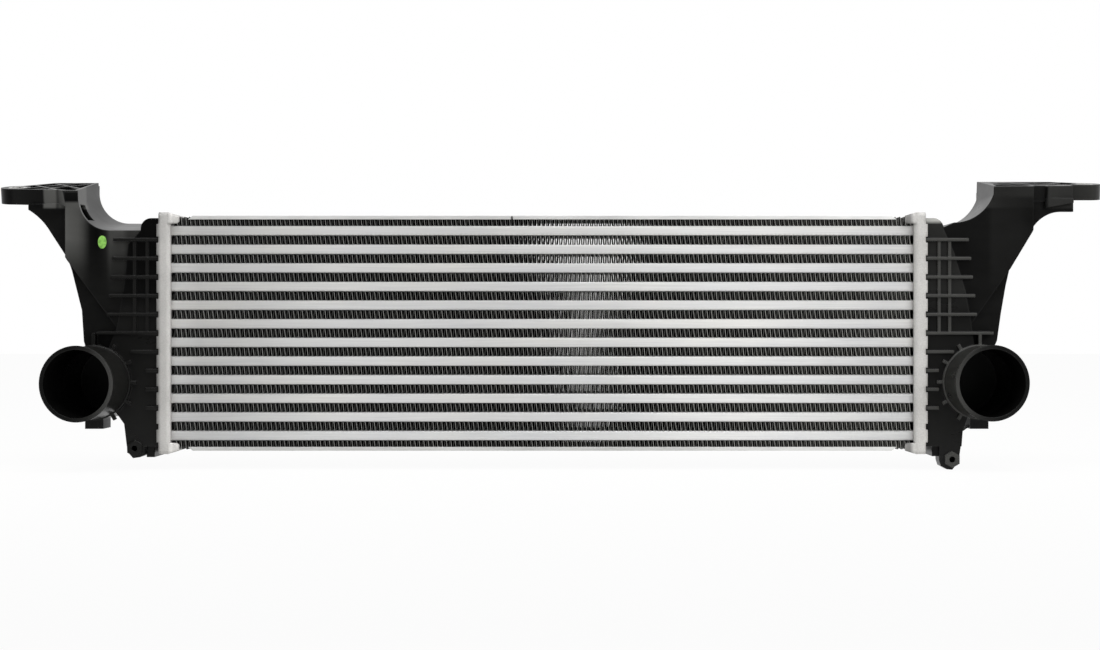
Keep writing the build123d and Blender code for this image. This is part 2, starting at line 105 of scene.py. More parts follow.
def grain(tree, scale, stretch=(1, 1, 1), detail=4.0, rough=0.55):
    """A noise over Object coordinates, stretched along the axes, with its factor as output."""
    place = tree.nodes.new("ShaderNodeTexCoord")
    mapping = tree.nodes.new("ShaderNodeMapping")
    mapping.inputs["Scale"].default_value = stretch
    noise = tree.nodes.new("ShaderNodeTexNoise")
    noise.inputs["Scale"].default_value = scale
    noise.inputs["Detail"].default_value = detail
    noise.inputs["Roughness"].default_value = rough
    tree.links.new(place.outputs["Object"], mapping.inputs["Vector"])
    tree.links.new(mapping.outputs["Vector"], noise.inputs["Vector"])
    return noise.outputs["Fac"]


def grey(value, blue=1.0):
    """A grey from a single value, a little yellow where its share of blue is below 1."""
    return (value, value, value * blue)


def greys(stops, blue=1.0):
    """Greys for single values at the places of the stops."""
    return [(at, grey(value, blue)) for at, value in stops]


def tones(tree, factor, stops):
    """Colours at places along a factor, blended between the stops."""
    ramp = tree.nodes.new("ShaderNodeValToRGB")
    while len(ramp.color_ramp.elements) < len(stops):
        ramp.color_ramp.elements.new(0.5)
    for element, (at, colour) in zip(ramp.color_ramp.elements, stops):
        element.position = at
        element.color = (*colour, 1)
    tree.links.new(factor, ramp.inputs["Fac"])
    return ramp.outputs["Color"]


def remap(tree, value, near, far, low=0.0, high=1.0, easing="LINEAR"):
    """A value's range from near to far taken onto low to high, and held level past its ends."""
    node = tree.nodes.new("ShaderNodeMapRange")
    node.interpolation_type = easing
    node.inputs["From Min"].default_value = near
    node.inputs["From Max"].default_value = far
    node.inputs["To Min"].default_value = low
    node.inputs["To Max"].default_value = high
    tree.links.new(value, node.inputs["Value"])
    return node.outputs["Result"]


def spread(tree, factor, low, high):
    """The middle range of a noise, 0.3 to 0.7, taken onto low to high."""
    return remap(tree, factor, 0.3, 0.7, low, high)


def climb_along(tree, axis, near, far):
    """A factor that climbs from 0 to 1 between two places on an axis, in metres."""
    place = tree.nodes.new("ShaderNodeTexCoord")
    split = tree.nodes.new("ShaderNodeSeparateXYZ")
    tree.links.new(place.outputs["Object"], split.inputs["Vector"])
    return remap(tree, split.outputs[axis], near, far)


def blend_colours(tree, factor, first, second, kind="MIX"):
    """Two colours mixed by a factor. Each of the three is a value or a socket, and the
    node's colour sockets are its inputs 6 and 7 and its output 2."""
    mix = tree.nodes.new("ShaderNodeMix")
    mix.data_type = "RGBA"
    mix.blend_type = kind
    for value, socket in ((factor, mix.inputs[0]), (first, mix.inputs[6]),
                          (second, mix.inputs[7])):
        if isinstance(value, bpy.types.NodeSocket):
            tree.links.new(value, socket)
        else:
            socket.default_value = (*value, 1) if isinstance(value, tuple) else value
    return mix.outputs[2]


def darken(tree, colour, shade):
    """A colour multiplied by a shade."""
    return blend_colours(tree, 1.0, colour, shade, "MULTIPLY")


def relief(tree, shader, height, strength, distance):
    """A bump from a height, laid over whatever bump the shader already has."""
    bump = tree.nodes.new("ShaderNodeBump")
    bump.inputs["Strength"].default_value = strength
    bump.inputs["Distance"].default_value = distance
    tree.links.new(height, bump.inputs["Height"])
    normal = shader.inputs["Normal"]
    if normal.is_linked:
        tree.links.new(normal.links[0].from_socket, bump.inputs["Normal"])
    tree.links.new(bump.outputs["Normal"], normal)


tube_finish, tree, shader = make_finish("brazed_tube_aluminium", grey(0.6), 0.3, 0.5)
blotches = tones(tree, grain(tree, 9.0, (1, 1, 3), 3.0),
                 [(0.32, (0.83, 0.84, 0.87)), (0.5, (0.90, 0.90, 0.90)),
                  (0.7, (0.99, 0.975, 0.93))])
drawn_lines = grain(tree, 60.0, (0.35, 12, 22), 5.0, 0.6)
streaks = tones(tree, drawn_lines, [(0.35, (0.80, 0.80, 0.80)), (0.65, (1.0, 1.0, 0.985))])
# Painted light and shade along the core: the tubes are painted palest at their very ends beside
# the headers, darker over the middle, and paler on the right than on the left.
tube_light_paint = tones(tree, climb_along(tree, "X", *core_span),
              greys([(0.0, 1.0), (0.04, 0.8), (0.22, 0.78), (0.42, 0.66), (0.6, 0.66),
                     (0.8, 0.84), (0.96, 0.92), (1.0, 1.0)]))
tree.links.new(darken(tree, blend_colours(tree, 0.5, blotches, streaks), tube_light_paint),
               shader.inputs["Base Color"])
tree.links.new(spread(tree, grain(tree, 40.0, (1, 4, 4)), 0.45, 0.58),
               shader.inputs["Roughness"])
relief(tree, shader, drawn_lines, 0.15, 0.0002)
relief(tree, shader, grain(tree, 14.0, (1, 1, 2), 2.0), 0.15, 0.0010)

# Four loops make the wall of a tube: out along its outside and back along its inside.
outer = tube_outline(tube_half_depth, tube_half_height, nose_length)
inner = tube_outline(tube_half_depth - tube_wall, tube_half_height - tube_wall,
                     nose_length - tube_wall / 2)
loops = np.stack([outer, outer, inner, inner])
along = np.array([-1, 1, 1, -1]) * tube_half_length
for number in range(1, tube_count + 1):
    height = first_tube_height + row_pitch * (number - 1)
    points = np.zeros((*loops.shape[:2], 3))
    points[..., 0] = along[:, None]
    points[..., 1:] = loops + (0, height)
    piece = mesh_piece(f"flat_tube_{number:02d}", points,
                       grid_faces(*loops.shape[:2], True, True)[:, ::-1])
    piece.data.materials.append(tube_finish)
    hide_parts(f"tube_{number:02d}")
    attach(piece, "root")


# ---- turbulators --------------------------------------------------------------------------
# A folded aluminium strip lies inside each tube and stirs the charge air. It is brazed to
# the tube's walls and shows only at the tube's mouth, inside the tank.
def dress_node(name, finish):
    """A solid of the frame shown as it is, in one finish."""
    materials = nodes[name].data.materials
    materials.clear()
    materials.append(finish)


turbulator_finish, tree, shader = make_finish("mill_aluminium", (0.60, 0.60, 0.58), 1.0, 0.5)
rolled = grain(tree, 80.0, (0.3, 10, 10))
tree.links.new(tones(tree, rolled, [(0.3, (0.5, 0.5, 0.49)), (0.7, (0.68, 0.67, 0.65))]),
               shader.inputs["Base Color"])
relief(tree, shader, rolled, 0.2, 0.0002)
for number in range(1, tube_count + 1):
    dress_node(f"turbulator_{number:02d}", turbulator_finish)


# ---- air fins -----------------------------------------------------------------------------
# Thirteen rows of louvred fins let the outside air through the core. Each row is one strip
# of thin aluminium, folded into narrow waves and brazed to the tubes by its folds.
first_fin_height = -96.0
fin_half_length = 317.6
fin_half_height = 3.9
fin_half_depth = 31.0
fin_sheet = 0.36
fold_radius = 0.6
fold_pitch = 3.86 / 2
fold_arc = np.radians(np.array([-82.0, -42.0, 0.0, 42.0, 82.0]))
crown_share = 1.5
fold_wander = 0.04
fold_tilt = 0.002
strip_drift = 0.05
first_fin_seed = 40
louvre_turn = np.array([0.0, 0.0, 1.0, 1.0, 0.0, 0.0])
louvre_lead = 1.0
louvre_bands = 260.0
louvre_closing = [0.9] * 8 + [0.88, 0.83, 0.73, 0.58, 0.6]
louvre_depths = [5.0] * 8 + [4.6, 4.2, 4.0, 3.4, 3.4]
fin_light_span = (-0.2, 0.3)
edge_light_paints = (("lit_fin_edge_paint", 0.22, 0.42), ("shaded_fin_edge_paint", 0.03, 0.10))


def fin_strip(height, closed, deep, seed):
    """A sheet folded up and down: arcs of one radius joined by straight flanks, carried
    through the depth. Over the middle, where the louvres turn round, each side of a flank
    stands out by the closed share of the way to the middle of the gap that it faces. The
    whole sheet wanders sideways by about a tenth of a millimetre."""
    stations = np.array([-fin_half_depth, -deep - louvre_lead, -deep,
                         deep, deep + louvre_lead, fin_half_depth])
    chance = np.random.default_rng(seed)
    folds = int(2 * fin_half_length / fold_pitch)
    number = np.arange(folds)
    side = np.where(number % 2 == 0, -1.0, 1.0)
    middle = (number - (folds - 1) / 2) * fold_pitch + chance.normal(0, fold_wander, folds)
    tilt = np.repeat(chance.normal(0, fold_tilt, folds), len(fold_arc))
    drift = chance.normal(0, strip_drift, len(stations))
    reach = fin_half_height - fin_sheet / 2 - fold_radius
    off_crown = np.minimum(1.0, crown_share * np.abs(np.sin(fold_arc)))
    sheet_sides = []
    for outward, limit in ((1, fold_pitch), (-1, 0.0)):
        radius = fold_radius + outward * fin_sheet / 2
        across = np.abs(radius * np.sin(fold_arc))
        turned = across + closed * (limit - across) * off_crown * louvre_turn[:, None, None]
        x = middle[:, None] + np.sign(fold_arc) * turned
        z = side[:, None] * (reach + radius * np.cos(fold_arc))
        sheet_sides.append(np.stack([x, np.broadcast_to(z, x.shape)], -1))
    outer, inner = sheet_sides
    is_top = (side > 0)[:, None, None]
    upper = np.where(is_top, outer, inner).reshape(len(stations), -1, 2)
    lower = np.where(is_top, inner, outer).reshape(len(stations), -1, 2)
    count = folds * len(fold_arc)
    loop = 2 * len(stations)
    points = np.zeros((count, loop, 3))
    points[:, :, 0] = np.concatenate([upper[..., 0], lower[::-1, :, 0]]).T
    points[:, :, 1] = np.concatenate([stations, stations[::-1]])
    points[:, :, 2] = np.concatenate([upper[..., 1], lower[::-1, :, 1]]).T + height
    points[:, :, 0] += np.concatenate([drift, drift[::-1]]) + tilt[:, None] * points[:, :, 1]
    faces = list(grid_faces(count, loop, False, True)[:, ::-1])
    faces.append(np.arange(loop))
    faces.append((count - 1) * loop + np.arange(loop)[::-1])
    return points, faces


def worn_tones(tree, factor, level, dark, pale):
    """Tones from a dark to a pale share of one level, over the middle range of a noise."""
    return tones(tree, factor, [(0.3, tuple(level * share for share in dark)),
                                (0.7, tuple(level * share for share in pale))])


# Painted shade: the fin sheet is painted near black, as dark as the shade deep between the tubes,
# and from left to right it is painted paler, as if lit from the right.
fin_finish, tree, shader = make_finish("louvred_fin_aluminium", (0.06, 0.06, 0.056),
                                       0.0, 0.2, 0.45)
film = grain(tree, 30.0)
shaded_flank_paint = tones(tree, film, [(0.3, (0.003, 0.003, 0.003)), (0.7, (0.007, 0.007, 0.0065))])
lit_flank_paint = tones(tree, film, [(0.3, (0.025, 0.025, 0.023)), (0.7, (0.045, 0.045, 0.04))])
tree.links.new(blend_colours(tree, climb_along(tree, "X", *fin_light_span), shaded_flank_paint, lit_flank_paint),
               shader.inputs["Base Color"])
place = tree.nodes.new("ShaderNodeTexCoord")
louvres = tree.nodes.new("ShaderNodeTexWave")
louvres.bands_direction = "Y"
louvres.wave_profile = "SAW"
louvres.inputs["Scale"].default_value = louvre_bands
tree.links.new(place.outputs["Object"], louvres.inputs["Vector"])
relief(tree, shader, louvres.outputs["Fac"], 0.7, 0.0004)

# Painted light: one edge finish is painted pale, as where a flank faces the light, and the other
# dark, as where it is shaded; both are painted paler towards the right.
edge_finishes = []
for name, left, right in edge_light_paints:
    edge_finish, tree, shader = make_finish(name, grey(left), 0.2, 0.5)
    worn = grain(tree, 45.0)
    colour = blend_colours(
        tree, climb_along(tree, "X", *fin_light_span),
        worn_tones(tree, worn, left, (0.76, 0.76, 0.72), (1.24, 1.24, 1.18)),
        worn_tones(tree, worn, right, (0.81, 0.81, 0.77), (1.19, 1.19, 1.12)))
    tree.links.new(colour, shader.inputs["Base Color"])
    edge_finishes.append(edge_finish)

for row, (closed, deep) in enumerate(zip(louvre_closing, louvre_depths)):
    points, faces = fin_strip(first_fin_height + row_pitch * row, closed, deep,
                              first_fin_seed + row)
    piece = mesh_piece(f"air_fins_{row:02d}", points, faces)
    for finish in (fin_finish, *edge_finishes):
        piece.data.materials.append(finish)
    # The strip's front and back edges take the painted lit and the painted shaded edge finish by
    # turns, flank by flank, as if one flank of each fold faced the light.
    stations = len(louvre_turn)
    step, column = np.divmod(np.arange(len(faces)), 2 * stations)
    is_edge = column % stations == stations - 1
    is_edge[-2:] = False
    flank = (step + len(fold_arc) // 2) // len(fold_arc)
    piece.data.polygons.foreach_set("material_index",
                                    (is_edge * (1 + flank % 2)).astype(np.int32))
    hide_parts(f"fin_row_{row:02d}")
    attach(piece, "root")


# ---- side plates --------------------------------------------------------------------------
# A folded aluminium channel closes the core above and below. Its web lies on the outer fins,
# and the top one is sawn through at its flanges so that the core can stretch when hot.
flange_face = (-0.0312, -0.0318)
plate_heights = (-0.09, 0.09)
plate_rounding = 0.25
weld_distance = 0.002
flat_turn = 1.0
edge_turn = 28

plate_finish, tree, shader = make_finish("side_plate_aluminium", (0.75, 0.75, 0.74), 0.25, 0.42)
scuffs = grain(tree, 50.0, (0.4, 3, 3), 5.0)
colour = tones(tree, scuffs, [(0.3, (0.82, 0.82, 0.81)), (0.7, (1.0, 1.0, 0.99))])
# Painted light: the plates are painted paler towards the right, where more light falls. They are
# also darker towards the bottom.
colour = darken(tree, colour, tones(tree, climb_along(tree, "X", *core_span),
                                    greys([(0.0, 0.68), (0.6, 0.68), (1.0, 0.98)])))
colour = darken(tree, colour, tones(tree, climb_along(tree, "Z", *plate_heights),
                                    greys([(0.0, 0.8), (1.0, 1.0)])))
# Painted shade: the web behind the flange is painted darker than the flange, so that its top,
# where the lamps fall, stays below white.
web = tones(tree, scuffs, [(0.3, (0.36, 0.36, 0.355)), (0.7, (0.5, 0.5, 0.49))])
tree.links.new(blend_colours(tree, climb_along(tree, "Y", *flange_face), web, colour),
               shader.inputs["Base Color"])
tree.links.new(spread(tree, scuffs, 0.36, 0.55), shader.inputs["Roughness"])
relief(tree, shader, scuffs, 0.25, 0.0003)


def softened_copy(node, name, width, segments=2):
    """A copy of a node with its doubles merged and its flat faces rejoined, whose edges a
    bevel then rounds by a width in millimetres."""
    mesh = nodes[node].data.copy()
    mesh.name = name
    shape = bmesh.new()
    shape.from_mesh(mesh)
    bmesh.ops.remove_doubles(shape, verts=shape.verts, dist=weld_distance * mm)
    bmesh.ops.dissolve_limit(shape, angle_limit=math.radians(flat_turn), verts=shape.verts,
                             edges=shape.edges)
    shape.to_mesh(mesh)
    shape.free()
    mesh.polygons.foreach_set("use_smooth", np.ones(len(mesh.polygons), bool))
    mesh.materials.clear()
    piece = bpy.data.objects.new(name, mesh)
    bpy.context.scene.collection.objects.link(piece)
    rounding = piece.modifiers.new("rounded_edges", "BEVEL")
    rounding.width = width * mm
    rounding.segments = segments
    rounding.limit_method = "ANGLE"
    rounding.angle_limit = math.radians(edge_turn)
    rounding.use_clamp_overlap = True
    rounding.miter_outer = "MITER_ARC"
    shading = piece.modifiers.new("even_shading", "WEIGHTED_NORMAL")
    shading.keep_sharp = True
    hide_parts(node)
    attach(piece, "root")
    return piece


for side in ("top", "bottom"):
    piece = softened_copy(f"side_plate_{side}", f"core_plate_{side}", plate_rounding)
    piece.data.materials.append(plate_finish)


# ---- headers ------------------------------------------------------------------------------
# Each header is a deep-drawn aluminium tray: the tubes are brazed into its slots, the tank's
# foot drops into its trough, and its tabs are crimped over that foot.
header_face = (-0.033, -0.035)
header_rounding = 1.1
drawn_corner = 0.004
# Painted shading: along each header's front the colour runs mostly from dark on the left to pale
# on the right, as over a round bar lit from the right.
header_shading_paint = {
    "right": ((0.309, 0.320), [(0.0, 0.6), (0.15, 0.38), (0.3, 0.28), (0.5, 0.29),
                               (0.65, 0.5), (0.8, 0.72), (1.0, 0.75)]),
    "left": ((-0.3285, -0.315), [(0.0, 0.31), (0.2, 0.58), (0.5, 0.62), (0.7, 0.78),
                                 (0.85, 0.96), (1.0, 0.8)])}


def round_edges(tree, shader, radius):
    """Shading that turns smoothly over every edge, in and out, within a radius in metres."""
    rounded = tree.nodes.new("ShaderNodeBevel")
    rounded.samples = 6
    rounded.inputs["Radius"].default_value = radius
    tree.links.new(rounded.outputs["Normal"], shader.inputs["Normal"])


for side, (span, light_and_shade_paint) in header_shading_paint.items():
    finish, tree, shader = make_finish(f"header_aluminium_{side}", (0.6, 0.59, 0.57), 0.3, 0.55)
    sand = grain(tree, 900.0, detail=3.0, rough=0.7)
    stains = tones(tree, grain(tree, 22.0, detail=5.0),
                   [(0.3, (0.66, 0.645, 0.625)), (0.55, (0.8, 0.785, 0.765)),
                    (0.75, (0.92, 0.9, 0.875))])
    pits = tones(tree, sand, [(0.35, (0.57, 0.56, 0.54)), (0.65, (1.0, 0.985, 0.955))])
    # The painted shading covers the header's front; its other faces are painted one flat grey.
    front_shading_paint = blend_colours(tree, climb_along(tree, "Y", *header_face), grey(0.7),
                         tones(tree, climb_along(tree, "X", *span), greys(light_and_shade_paint)))
    tree.links.new(darken(tree, blend_colours(tree, 0.35, stains, pits), front_shading_paint),
                   shader.inputs["Base Color"])
    tree.links.new(spread(tree, sand, 0.48, 0.7), shader.inputs["Roughness"])
    round_edges(tree, shader, drawn_corner)
    relief(tree, shader, sand, 0.35, 0.0003)
    piece = softened_copy(f"header_{side}", f"tube_plate_{side}", header_rounding, 3)
    piece.data.materials.append(finish)


# ---- gaskets ------------------------------------------------------------------------------
# A ring of moulded black rubber lies on the floor of each header's trough. The foot of the
# tank presses on it and is held down by the crimped tabs.
gasket_finish, tree, shader = make_finish("gasket_rubber", grey(0.02), 0.0, 0.75, 0.3)
tree.links.new(tones(tree, grain(tree, 60.0), [(0.3, (0.014, 0.014, 0.015)),
                                               (0.7, (0.034, 0.034, 0.033))]),
               shader.inputs["Base Color"])
relief(tree, shader, grain(tree, 700.0), 0.2, 0.0002)
for side in ("right", "left"):
    dress_node(f"gasket_{side}", gasket_finish)


# ---- tanks --------------------------------------------------------------------------------
# The end tanks are moulded in glass-filled nylon: foot, air chamber, hose neck, rib grid,
# and an arm with the mounting eye, all in one shot. Crimped tabs hold them to the headers.
tank_rounding = 0.7
moulded_corner = 0.0016
necks = {"right": (0.3746, -0.0418), "left": (-0.3839, -0.0423)}
neck_splay = math.radians(6)
neck_slope = math.tan(neck_splay)
neck_half_width = 0.032
neck_surface = (0.0290, 0.0296)
neck_depths = (-0.0395, -0.0415)
rim_edge = (0.0012, 0.0006)
bore_radius = 0.0292
bore_depth = -0.036
chamber_face = 0.0343
chamber_heights = (0.018, 0.035)
chamber_layer = ((-0.0334, -0.0338), (-0.0358, -0.0350))
rib_layer = ((-0.0350, -0.0358), (-0.0392, -0.0386))
arm_layer = ((-0.0305, -0.0315), (-0.0338, -0.0334))
head_heights = (0.1065, 0.1085)
head_depths = (-0.006, -0.012)
ledge_heights = (0.0935, 0.0965)
ledge_span = (0.356, 0.340)
ledge_depths = (-0.0330, -0.0338)


def chain(tree, operation, factors):
    """Factors taken together one after another, each of them a number or a socket."""
    result = factors[0]
    for factor in factors[1:]:
        step = tree.nodes.new("ShaderNodeMath")
        step.operation = operation
        tree.links.new(result, step.inputs[0])
        if isinstance(factor, bpy.types.NodeSocket):
            tree.links.new(factor, step.inputs[1])
        else:
            step.inputs[1].default_value = factor
        result = step.outputs[0]
    return result


def product(tree, *factors):
    """Factors multiplied together."""
    return chain(tree, "MULTIPLY", factors)


def layer(tree, starts, ends):
    """A factor that is 1 between two depths: it climbs over the first span of depths and
    falls again over the second."""
    return product(tree, climb_along(tree, "Y", *starts), climb_along(tree, "Y", *ends))


def nylon_greys(stops):
    """The warm greys of nylon, from single values."""
    return greys(stops, 0.97)


def lengthwise(tree, direction):
    """How far a point lies along a direction from the origin, in metres."""
    place = tree.nodes.new("ShaderNodeTexCoord")
    along = tree.nodes.new("ShaderNodeVectorMath")
    along.operation = "DOT_PRODUCT"
    along.inputs[1].default_value = direction
    tree.links.new(place.outputs["Object"], along.inputs[0])
    return along.outputs["Value"]


def moulded_nylon(side, length, rib, chamber, arm_span, arm, arm_foot, head_span, head):
    """Near-black nylon with painted light and shade: the ribs, the chamber's front, the arm's
    front, the head and the outside of the neck each get their own painted paleness, and the neck's
    rim, a length in metres from the chamber, gets a painted highlight on the side of the core."""
    neck_x, neck_z = necks[side]
    sign = math.copysign(1, neck_x)
    finish, tree, shader = make_finish(f"glass_filled_nylon_{side}", grey(0.004), 0.0, 0.3, 0.15)
    flow = grain(tree, 16.0, (1, 1, 2.5), 5.0, 0.6)
    speckle = grain(tree, 1100.0, detail=2.0, rough=0.7)
    colour = tones(tree, flow, nylon_greys([(0.3, 0.003), (0.6, 0.005), (0.8, 0.008)]))

    # Painted light and shade: the arm, the head, the chamber's front and the ribs each get their
    # own painted paleness.
    up_arm = climb_along(tree, "Z", *arm_foot)
    colour = blend_colours(tree, product(tree, layer(tree, *arm_layer), up_arm, up_arm), colour,
                           tones(tree, climb_along(tree, "X", *arm_span), nylon_greys(arm)))
    in_head = product(tree, climb_along(tree, "Z", *head_heights),
                      climb_along(tree, "Y", *head_depths))
    colour = blend_colours(tree, in_head, colour,
                           tones(tree, climb_along(tree, "X", *head_span), nylon_greys(head)))
    colour = blend_colours(tree, layer(tree, *chamber_layer), colour,
                           tones(tree, climb_along(tree, "Z", *chamber_heights),
                                 nylon_greys([(0.0, chamber[0]), (1.0, chamber[1])])))
    colour = blend_colours(tree, layer(tree, *rib_layer), colour, grey(rib, 0.96))
    if side == "right":
        # Painted highlight: the ledge on top of the right chamber is painted pale beside the
        # header, where its rounded edge would catch the light.
        ledge = product(tree, climb_along(tree, "Z", *ledge_heights),
                        climb_along(tree, "X", *ledge_span), climb_along(tree, "Y", *ledge_depths))
        colour = blend_colours(tree, ledge, colour, (0.42, 0.42, 0.405))

    # The neck leans outward, so how far a point lies to its side is read square to the lean.
    sideways = lengthwise(tree, (1.0, sign * neck_slope, 0.0))
    axis = neck_x - sign * neck_slope * chamber_face
    place = tree.nodes.new("ShaderNodeTexCoord")
    split = tree.nodes.new("ShaderNodeSeparateXYZ")
    flat = tree.nodes.new("ShaderNodeCombineXYZ")
    from_axis = tree.nodes.new("ShaderNodeVectorMath")
    from_axis.operation = "DISTANCE"
    from_axis.inputs[1].default_value = (axis, 0.0, neck_z)
    tree.links.new(place.outputs["Object"], split.inputs["Vector"])
    tree.links.new(sideways, flat.inputs["X"])
    tree.links.new(split.outputs["Z"], flat.inputs["Z"])
    tree.links.new(flat.outputs["Vector"], from_axis.inputs[0])
    barrel = product(tree, remap(tree, from_axis.outputs["Value"], *neck_surface),
                     climb_along(tree, "Y", *neck_depths))
    # Painted light: the outside of the neck is painted paler than the chamber, as where it catches
    # the light.
    colour = blend_colours(tree, barrel, colour, grey(0.3 * rib + 0.01, 0.95))

    # Painted highlight: the neck's rim is painted pale on the side of the core.
    mouth = abs(neck_x) * math.sin(neck_splay) + chamber_face * math.cos(neck_splay) + length
    outward = (sign * math.sin(neck_splay), -math.cos(neck_splay), 0.0)
    rim = remap(tree, lengthwise(tree, outward), mouth - rim_edge[0], mouth - rim_edge[1])
    light_and_shade_paint = tones(tree, remap(tree, sideways, axis - sign * neck_half_width,
                               axis + sign * neck_half_width),
                   nylon_greys([(0.0, 0.05), (0.15, 0.035), (0.35, 0.012), (0.6, 0.003)]))
    colour = blend_colours(tree, rim, colour, light_and_shade_paint)

    mottled = tones(tree, flow, nylon_greys([(0.3, 0.7), (0.7, 1.0)]))
    tree.links.new(blend_colours(tree, 0.6, colour, mottled, "MULTIPLY"),
                   shader.inputs["Base Color"])
    tree.links.new(spread(tree, flow, 0.26, 0.38), shader.inputs["Roughness"])
    round_edges(tree, shader, moulded_corner)
    relief(tree, shader, speckle, 0.06, 0.0002)
    relief(tree, shader, flow, 0.1, 0.0015)
    return finish


# The painted light and shade of each arm and head, from left to right. The left arm has an outer
# rail, a window and an inner rail, and the right arm one dark panel.
nylons = {
    "right": moulded_nylon(
        "right", length=0.034, rib=0.054, chamber=(0.008, 0.018),
        arm_span=(0.340, 0.480),
        arm=[(0.0, 0.003), (0.16, 0.002), (0.30, 0.003), (0.33, 0.007), (0.5, 0.006),
             (0.6, 0.002), (1.0, 0.004)],
        arm_foot=(0.010, 0.060),
        head_span=(0.380, 0.480),
        head=[(0.0, 0.02), (0.16, 0.012), (0.36, 0.008), (0.45, 0.006), (0.535, 0.006),
              (0.55, 0.025), (0.8, 0.023), (1.0, 0.03)]),
    "left": moulded_nylon(
        "left", length=0.040, rib=0.008, chamber=(0.007, 0.001),
        arm_span=(-0.430, -0.350),
        arm=[(0.0, 0.001), (0.205, 0.002), (0.22, 0.07), (0.273, 0.085), (0.40, 0.068),
             (0.445, 0.05), (0.487, 0.024), (0.53, 0.003), (0.60, 0.001), (0.659, 0.004),
             (0.70, 0.012), (0.744, 0.052), (0.88, 0.054), (0.94, 0.03)],
        arm_foot=(0.025, 0.080),
        head_span=(-0.50, -0.38),
        head=[(0.0, 0.001), (0.34, 0.001), (0.37, 0.006), (0.5, 0.003), (0.585, 0.002),
              (0.60, 0.085), (0.675, 0.09), (0.69, 0.03), (0.71, 0.055), (0.75, 0.075),
              (1.0, 0.075)])}

bore_finish, tree, shader = make_finish("dull_bore_nylon", grey(0.002), 0.0, 0.6, 0.0)
tree.links.new(tones(tree, grain(tree, 30.0), nylon_greys([(0.3, 0.0015), (0.7, 0.004)])),
               shader.inputs["Base Color"])

for side, finish in nylons.items():
    neck_x, neck_z = necks[side]
    piece = softened_copy(f"tank_{side}", f"end_tank_{side}", tank_rounding)
    piece.data.materials.append(finish)
    piece.data.materials.append(bore_finish)
    # The walls of the neck's bore face across it and lie within its radius.
    centres, normals = np.empty((2, len(piece.data.polygons), 3))
    piece.data.polygons.foreach_get("center", centres.ravel())
    piece.data.polygons.foreach_get("normal", normals.ravel())
    lean = math.copysign(neck_slope, neck_x)
    across = centres[:, 0] - neck_x + lean * (centres[:, 1] + chamber_face)
    in_bore = np.hypot(across, centres[:, 2] - neck_z) < bore_radius
    in_bore &= (centres[:, 1] < bore_depth) & (np.abs(normals[:, 1]) < 0.5)
    piece.data.polygons.foreach_set("material_index", in_bore.astype(np.int32))


# ---- bolt sleeves -------------------------------------------------------------------------
# A short turned tube of zinc-plated steel is pressed into the eye of each arm, so that the
# bolt clamps steel and not plastic.
sleeve_rounding = 0.3
sleeve_finish, tree, shader = make_finish("zinc_plated_steel", (0.55, 0.55, 0.53), 1.0, 0.33)
turned = grain(tree, 120.0, (1, 1, 6))
tree.links.new(tones(tree, turned, [(0.3, (0.42, 0.42, 0.41)), (0.7, (0.62, 0.61, 0.58))]),
               shader.inputs["Base Color"])
tree.links.new(spread(tree, turned, 0.25, 0.42), shader.inputs["Roughness"])
for side in ("right", "left"):
    piece = softened_copy(f"sleeve_{side}", f"bolt_sleeve_{side}", sleeve_rounding)
    piece.data.materials.append(sleeve_finish)


# ---- inspection mark ----------------------------------------------------------------------
# A dab of green marking paint lies on the front of the left tank's arm. Whoever tested the
# core for leaks put it there by hand, and it dried as a thin oval dome.
dab_x, dab_y, dab_z = -377.3, -33.06, 78.1
dab_half_width = 3.7
dab_half_height = 5.6
dab_thickness = 0.25
dab_rings = 8
dab_turns = 40

mark_finish, tree, shader = make_finish("green_marking_paint", (0.2, 0.5, 0.08), 0.0, 0.5)
tree.links.new(tones(tree, grain(tree, 300.0), [(0.3, (0.11, 0.28, 0.04)),
                                                (0.55, (0.23, 0.51, 0.085)),
                                                (0.8, (0.26, 0.58, 0.11))]),
               shader.inputs["Base Color"])

# Rings of one oval, which fall back from the middle with the fourth power of their size.
ring, turn = np.meshgrid(np.linspace(0, 1, dab_rings + 1)[1:],
                         np.linspace(0, 2 * np.pi, dab_turns, endpoint=False), indexing="ij")
points = np.stack([dab_x + dab_half_width * ring * np.cos(turn),
                   dab_y - dab_thickness * (1 - ring ** 4),
                   dab_z + dab_half_height * ring * np.sin(turn)], -1).reshape(-1, 3)
points = np.concatenate([points, [[dab_x, dab_y - dab_thickness, dab_z]]])
hub = dab_rings * dab_turns
faces = list(grid_faces(dab_rings, dab_turns, False, True)[:, ::-1])
faces += [[hub, i, (i + 1) % dab_turns] for i in range(dab_turns)]
faces.append(list(range(hub - dab_turns, hub)))
piece = mesh_piece("test_mark", points, faces)
piece.data.materials.append(mark_finish)
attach(piece, "root")


# ---- studio -------------------------------------------------------------------------------
# A pale floor, soft lamps round the front, and a white surround seen straight on, in metal
# and through openings.
floor_height = -117.2
floor_reach = 6000.0
floor_depths = (-0.8, -0.1)
floor_glow = 0.95
frame_width = 1100.0
focal_length = 1747.0
sensor_width = 36.0
camera_place = (0.03665, -1.531, 0.007)
camera_shift = -0.0318


def pale_stage(tree, *mirrored):
    """A factor that is 1 straight on and through openings, and in reflections as far as the
    mirrored factor goes; everything else, such as the shadow, stays lit by the lamps."""
    path = tree.nodes.new("ShaderNodeLightPath")
    glossy = product(tree, path.outputs["Is Glossy Ray"], *mirrored)
    return chain(tree, "MAXIMUM", (path.outputs["Is Camera Ray"], glossy,
                                   path.outputs["Is Transmission Ray"]))


